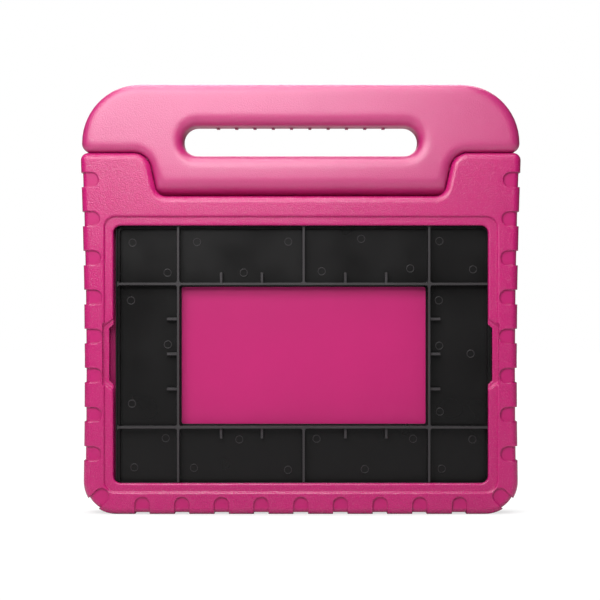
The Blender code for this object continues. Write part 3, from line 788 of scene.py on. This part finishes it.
def pin_mark(bm, across, up, floor):
    """A shallow round mark on the tray's floor: a low rim with a flat middle."""
    disc = bmesh.ops.create_circle(
        bm,
        cap_ends=True,
        segments=PIN_MARK_STEPS,
        radius=PIN_MARK_RADIUS,
        matrix=Matrix.Translation((across, floor + SKIN / 4, up)) @ Matrix.Rotation(math.pi / 2, 4, "X"),
    )
    face = disc["verts"][0].link_faces[0]
    face.normal_update()
    rings = (
        (PIN_MARK_SLOPE, PIN_MARK_HEIGHT + SKIN / 4),
        (PIN_MARK_RIM, 0.0),
        (PIN_MARK_SLOPE, -PIN_MARK_DIP),
    )
    for thickness, depth in rings:
        bmesh.ops.inset_region(bm, faces=[face], thickness=thickness, depth=0.0, use_boundary=True)
        bmesh.ops.translate(bm, vec=(0, -depth, 0), verts=face.verts)


def tray_slab(margin, radius, near, far):
    """A slab with the tray's outline, made larger or smaller by a margin."""
    middle = (TRAY_SHIFT, TRAY_CENTRE)
    outline = box_corners(middle, TRAY_HALF_WIDTH + margin, TRAY_HALF_HEIGHT + margin, radius)
    return slab([outline], near, far)


def insert_tray(plastic, tops):
    """The ribbed tray, whose ribs, wall and ejector marks have paler tops, as a painted highlight where the
    light falls on them.
    """
    front = TRAY_FRONT - OVERRUN
    floor = TRAY_BACK - TRAY_FLOOR
    inner_radius = TRAY_CORNER_RADIUS - TRAY_WALL
    cells = slab(
        [box_corners(centre, wide, high, CELL_CORNER_RADIUS) for centre, wide, high in tray_cells()],
        front,
        floor,
    )
    ledge = tray_slab(-TRAY_WALL, inner_radius, floor - TRAY_LEDGE_HEIGHT, floor + SKIN)
    core = tray_slab(-TRAY_WALL - TRAY_LEDGE, inner_radius - TRAY_LEDGE / 2, front, floor + 2 * SKIN)
    wall_top = tray_slab(OVERRUN, 0.0, front, TRAY_FRONT + WALL_DROP)
    wall_core = tray_slab(-TRAY_WALL, inner_radius, front - SKIN, TRAY_FRONT + 2 * WALL_DROP)
    middle = (TRAY_SHIFT, TRAY_CENTRE)
    wide = RIB_HALF_SPAN - RIB_WIDTH / 2
    high = RIB_HALF_RISE - RIB_WIDTH / 2
    window_top = box_corners(middle, wide, high, CELL_CORNER_RADIUS)
    window = box_corners(middle, wide - WINDOW_LEDGE, high - WINDOW_LEDGE, WINDOW_CORNER_RADIUS)
    tools = [
        carved("above_wall", wall_top, [wall_core]),
        cells,
        slab([window_top], front, floor),
        slab([window], front, TRAY_BACK + OVERRUN),
    ]
    tray = carved("ribbed_tray", tray_slab(0.0, TRAY_CORNER_RADIUS, TRAY_FRONT, TRAY_BACK), tools)
    join(tray, slab(stub_outlines(), floor - STUB_HEIGHT, floor + SKIN))
    join(tray, carved("ledge", ledge, [core]))
    for across, up in PIN_MARKS:
        pin_mark(tray, across, up, floor)
    # The tops get the lighter black, a painted highlight, while the cell floors keep the dark one.
    top_depths = (TRAY_FRONT, floor - STUB_HEIGHT, floor - PIN_MARK_HEIGHT)
    tray.normal_update()
    for face in tray.faces:
        depth = face.calc_center_median().y
        on_top = any(abs(depth - top) < SKIN / 4 for top in top_depths)
        face.material_index = int(on_top and face.normal.y < FORWARD)
    finished("ribbed_tray", tray, [plastic, tops], "case", "insert_tray")


def node_group(name, inputs, outputs):
    """An empty shader node group with named sockets, each as (name, type, default)."""
    group = bpy.data.node_groups.new(name, "ShaderNodeTree")
    for socket, kind, default in inputs:
        made = group.interface.new_socket(socket, in_out="INPUT", socket_type=kind)
        if default is not None:
            made.default_value = default
    for socket, kind in outputs:
        group.interface.new_socket(socket, in_out="OUTPUT", socket_type=kind)
    start = group.nodes.new("NodeGroupInput")
    end = group.nodes.new("NodeGroupOutput")
    return group, start, end


def add(tree, kind, settings=(), values=(), **links):
    """A node with its settings, socket values and links from other sockets."""
    node = tree.nodes.new(kind)
    for name, value in dict(settings).items():
        setattr(node, name, value)
    for name, value in dict(values).items():
        node.inputs[name].default_value = value
    for name, source in links.items():
        tree.links.new(source, node.inputs[name.replace("_", " ")])
    return node


def pebble_group():
    """Moulded foam skin: small round pebbles with a finer grain over them, and a mask for painted shade in
    the hollows between them.
    """
    group, start, end = node_group(
        "pebbled_skin",
        [
            ("Vector", "NodeSocketVector", None),
            ("Pebble Scale", "NodeSocketFloat", 700.0),
            ("Grain Scale", "NodeSocketFloat", 1800.0),
            ("Grain Share", "NodeSocketFloat", 0.4),
        ],
        [("Height", "NodeSocketFloat"), ("Hollow Shade", "NodeSocketFloat")],
    )
    warp = add(
        group,
        "ShaderNodeTexNoise",
        {},
        {"Detail": 2.0, "Scale": 500.0},
        Vector=start.outputs["Vector"],
    )
    bent = add(group, "ShaderNodeVectorMath", {"operation": "MULTIPLY_ADD"})
    group.links.new(warp.outputs["Color"], bent.inputs[0])
    bent.inputs[1].default_value = (0.0009, 0.0009, 0.0009)
    group.links.new(start.outputs["Vector"], bent.inputs[2])
    cells = add(
        group,
        "ShaderNodeTexVoronoi",
        {"feature": "SMOOTH_F1"},
        {"Smoothness": 0.35, "Randomness": 1.0},
        Vector=bent.outputs[0],
        Scale=start.outputs["Pebble Scale"],
    )
    domed = add(
        group,
        "ShaderNodeMapRange",
        {},
        {"From Min": 0.05, "From Max": 0.75, "To Min": 1.0, "To Max": 0.0},
        Value=cells.outputs["Distance"],
    )
    grain = add(
        group,
        "ShaderNodeTexNoise",
        {},
        {"Detail": 3.0, "Roughness": 0.6},
        Vector=start.outputs["Vector"],
        Scale=start.outputs["Grain Scale"],
    )
    mixed = add(group, "ShaderNodeMix", {"data_type": "FLOAT"})
    group.links.new(start.outputs["Grain Share"], mixed.inputs[0])
    group.links.new(domed.outputs[0], mixed.inputs[2])
    group.links.new(grain.outputs[0], mixed.inputs[3])
    hollow_shade = add(group, "ShaderNodeMapRange", {}, {"From Min": 0.35, "From Max": 0.0}, Value=mixed.outputs[0])
    group.links.new(mixed.outputs[0], end.inputs["Height"])
    group.links.new(hollow_shade.outputs[0], end.inputs["Hollow Shade"])
    return group


def drift_group():
    """Slow variation over a surface, as a foam's density or a moulding's gloss varies."""
    group, start, end = node_group(
        "slow_drift",
        [("Vector", "NodeSocketVector", None), ("Scale", "NodeSocketFloat", 22.0)],
        [("Amount", "NodeSocketFloat")],
    )
    slow = add(
        group,
        "ShaderNodeTexNoise",
        {},
        {"Detail": 2.0, "Roughness": 0.5},
        Vector=start.outputs["Vector"],
        Scale=start.outputs["Scale"],
    )
    group.links.new(slow.outputs[0], end.inputs["Amount"])
    return group


def principled(name):
    """A new material, its tree and shader, and the place on the piece that its patterns follow."""
    made = bpy.data.materials.new(name)
    made.use_nodes = True
    tree = made.node_tree
    surface = tree.nodes["Principled BSDF"]
    place = tree.nodes.new("ShaderNodeTexCoord").outputs["Object"]
    return made, tree, surface, place


def placed(tree, group, place, **values):
    """A node group in a material, at a place and with its own values."""
    node = tree.nodes.new("ShaderNodeGroup")
    node.node_tree = group
    tree.links.new(place, node.inputs["Vector"])
    for name, value in values.items():
        node.inputs[name.replace("_", " ").title()].default_value = value
    return node


def drifting_tone(tree, amount, base, share):
    """A colour that drifts from a little darker than the base to a little lighter."""
    tone = add(tree, "ShaderNodeMix", {"data_type": "RGBA"})
    tree.links.new(amount, tone.inputs[0])
    tone.inputs[6].default_value = (*[channel * (1 - share) for channel in base], 1)
    tone.inputs[7].default_value = (*[channel * (1 + share) for channel in base], 1)
    return tone.outputs[2]


def give_relief(tree, surface, height, bump, edge):
    """Raises the grain and softens the edges that the light falls on."""
    soft = add(tree, "ShaderNodeBevel", {"samples": 6}, {"Radius": edge})
    raised = add(
        tree,
        "ShaderNodeBump",
        {},
        {"Strength": 1.0, "Distance": bump},
        Height=height,
        Normal=soft.outputs[0],
    )
    tree.links.new(raised.outputs[0], surface.inputs["Normal"])


def foam(name, groups, base, rough, shine, pebble_scale, grain_scale, grain_share, bump, edge):
    """Closed-cell foam with a moulded skin, whose grain hollows are darkened with painted shade."""
    made, tree, surface, place = principled(name)
    pebbles, drift = groups
    skin = placed(
        tree,
        pebbles,
        place,
        pebble_scale=pebble_scale,
        grain_scale=grain_scale,
        grain_share=grain_share,
    )
    slow = placed(tree, drift, place)
    tone = drifting_tone(tree, slow.outputs["Amount"], base, FOAM_DRIFT)
    # Painted shade: the grain's hollows are mixed towards the darker pink.
    shade = add(tree, "ShaderNodeMath", {"operation": "MULTIPLY"})
    tree.links.new(skin.outputs["Hollow Shade"], shade.inputs[0])
    shade.inputs[1].default_value = HOLLOW_SHADE_SHARE
    colour = add(tree, "ShaderNodeMix", {"data_type": "RGBA"})
    tree.links.new(shade.outputs[0], colour.inputs[0])
    tree.links.new(tone, colour.inputs[6])
    colour.inputs[7].default_value = (*HOLLOW_SHADE_PINK, 1)
    tree.links.new(colour.outputs[2], surface.inputs["Base Color"])
    gloss = add(
        tree,
        "ShaderNodeMapRange",
        {},
        {"To Min": rough + 0.06, "To Max": rough - 0.03},
        Value=skin.outputs["Height"],
    )
    tree.links.new(gloss.outputs[0], surface.inputs["Roughness"])
    give_relief(tree, surface, skin.outputs["Height"], bump, edge)
    surface.inputs["Specular IOR Level"].default_value = shine
    return made


def moulded(name, drift, base, rough):
    """Injection-moulded plastic with a fine spark-eroded grain and slow changes of gloss."""
    made, tree, surface, place = principled(name)
    grain = add(
        tree,
        "ShaderNodeTexNoise",
        {},
        {"Scale": PLASTIC_GRAIN, "Detail": 3.0, "Roughness": 0.6},
        Vector=place,
    )
    slow = placed(tree, drift, place)
    tone = drifting_tone(tree, slow.outputs["Amount"], base, PLASTIC_DRIFT)
    tree.links.new(tone, surface.inputs["Base Color"])
    gloss = add(
        tree,
        "ShaderNodeMapRange",
        {},
        {"From Min": 0.3, "From Max": 0.7, "To Min": rough - 0.07, "To Max": rough + 0.07},
        Value=slow.outputs["Amount"],
    )
    tree.links.new(gloss.outputs[0], surface.inputs["Roughness"])
    give_relief(tree, surface, grain.outputs[0], PLASTIC_BUMP, PLASTIC_EDGE)
    surface.inputs["Specular IOR Level"].default_value = PLASTIC_SHINE
    return made


def lamp(name, place, target, size, power):
    """A soft rectangular studio lamp that faces a point."""
    data = bpy.data.lights.new(name, "AREA")
    data.shape = "RECTANGLE"
    data.size, data.size_y = size
    data.energy = power
    obj = linked(name, data)
    obj.location = place
    obj.rotation_euler = (Vector(target) - Vector(place)).to_track_quat("-Z", "Y").to_euler()


def room_light():
    """Weak light all round, and white where the camera looks past the case."""
    world = bpy.data.worlds.new("studio")
    bpy.context.scene.world = world
    world.use_nodes = True
    tree = world.node_tree
    back = tree.nodes["Background"]
    back.inputs["Color"].default_value = (1, 1, 1, 1)
    path = tree.nodes.new("ShaderNodeLightPath")
    strength = add(tree, "ShaderNodeMix", {"data_type": "FLOAT"})
    tree.links.new(path.outputs["Is Camera Ray"], strength.inputs[0])
    strength.inputs[2].default_value = ROOM_LIGHT
    strength.inputs[3].default_value = 1.0
    tree.links.new(strength.outputs[0], back.inputs["Strength"])


def white_sweep():
    """The ground's material, which keeps the shadow under the case and is white farther out."""
    made, tree, surface, place = principled("white_sweep")
    surface.inputs["Base Color"].default_value = (GROUND_TONE, GROUND_TONE, GROUND_TONE, 1)
    surface.inputs["Roughness"].default_value = GROUND_ROUGHNESS
    surface.inputs["Specular IOR Level"].default_value = 0.0
    narrowed = add(tree, "ShaderNodeVectorMath", {"operation": "MULTIPLY"})
    tree.links.new(place, narrowed.inputs[0])
    narrowed.inputs[1].default_value = (1, GLOW_STRETCH, 1)
    reach = add(tree, "ShaderNodeVectorMath", {"operation": "LENGTH"})
    tree.links.new(narrowed.outputs[0], reach.inputs[0])
    fade = add(
        tree,
        "ShaderNodeMapRange",
        {},
        {"From Min": GLOW_NEAR[0], "From Max": GLOW_FAR[0], "To Min": GLOW_NEAR[1], "To Max": GLOW_FAR[1]},
        Value=reach.outputs["Value"],
    )
    path = tree.nodes.new("ShaderNodeLightPath")
    share = add(tree, "ShaderNodeMath", {"operation": "MULTIPLY"})
    tree.links.new(fade.outputs[0], share.inputs[0])
    tree.links.new(path.outputs["Is Camera Ray"], share.inputs[1])
    glow = tree.nodes.new("ShaderNodeEmission")
    glow.inputs["Strength"].default_value = GROUND_GLOW
    both = tree.nodes.new("ShaderNodeMixShader")
    tree.links.new(share.outputs[0], both.inputs[0])
    tree.links.new(surface.outputs[0], both.inputs[1])
    tree.links.new(glow.outputs[0], both.inputs[2])
    tree.links.new(both.outputs[0], tree.nodes["Material Output"].inputs["Surface"])
    return made


def studio():
    """The room, its lamps and the ground."""
    room_light()
    for described in LAMPS:
        lamp(*described)
    bm = bmesh.new()
    bmesh.ops.create_grid(bm, x_segments=2, y_segments=2, size=GROUND_SIZE)
    ground = linked("ground", new_mesh("ground", bm))
    ground.data.materials.append(white_sweep())


def photo_camera():
    """Level, square to the front, at the height of the middle of the photograph."""
    data = bpy.data.cameras.new("front")
    data.sensor_fit = "HORIZONTAL"
    data.sensor_width = 36.0
    data.lens = CAMERA_LENS
    camera = linked("front", data)
    camera.location = CAMERA_PLACE
    camera.rotation_euler = (math.pi / 2, 0, 0)
    bpy.context.scene.camera = camera


def foam_skins(drift):
    """The foam's three skins: coarse on the body, fine on the handle and smooth on the floors."""
    groups = (pebble_group(), drift)
    body_skin = foam(
        "foam_coarse_grain",
        groups,
        base=PINK,
        rough=0.24,
        shine=0.52,
        pebble_scale=1250,
        grain_scale=2800,
        grain_share=0.5,
        bump=0.00017,
        edge=0.0013,
    )
    handle_skin = foam(
        "foam_fine_grain",
        groups,
        base=HANDLE_PINK,
        rough=0.36,
        shine=1.0,
        pebble_scale=1250,
        grain_scale=2600,
        grain_share=0.5,
        bump=0.00009,
        edge=0.0062,
    )
    floor_skin = foam(
        "foam_smooth",
        groups,
        base=PINK,
        rough=0.36,
        shine=0.35,
        pebble_scale=1300,
        grain_scale=2600,
        grain_share=0.7,
        bump=0.00004,
        edge=0.0012,
    )
    return body_skin, handle_skin, floor_skin


def main():
    """Builds the camera, the finishes, the three dressed pieces, the hinge's finishes and the studio."""
    bpy.context.scene.view_settings.view_transform = "Standard"
    photo_camera()
    drift = drift_group()
    body_skin, handle_skin, floor_skin = foam_skins(drift)
    black = moulded("black_moulded_plastic", drift, BLACK, 0.32)
    # A lighter black for the tray's tops, as a painted highlight.
    tops = moulded("black_plastic_lit_tops", drift, LIT_TOPS_BLACK, 0.42)
    pale = moulded("pale_moulded_plastic", drift, PALE, 0.38)
    foam_body(body_skin, floor_skin)
    carry_handle(handle_skin)
    insert_tray(black, tops)
    for name, finish in (("hinge_pin", pale), ("hinge_bush", black)):
        for side in ("left", "right"):
            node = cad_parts[f"{name}_{side}"]
            node.data.materials.clear()
            node.data.materials.append(finish)
    studio()


main()
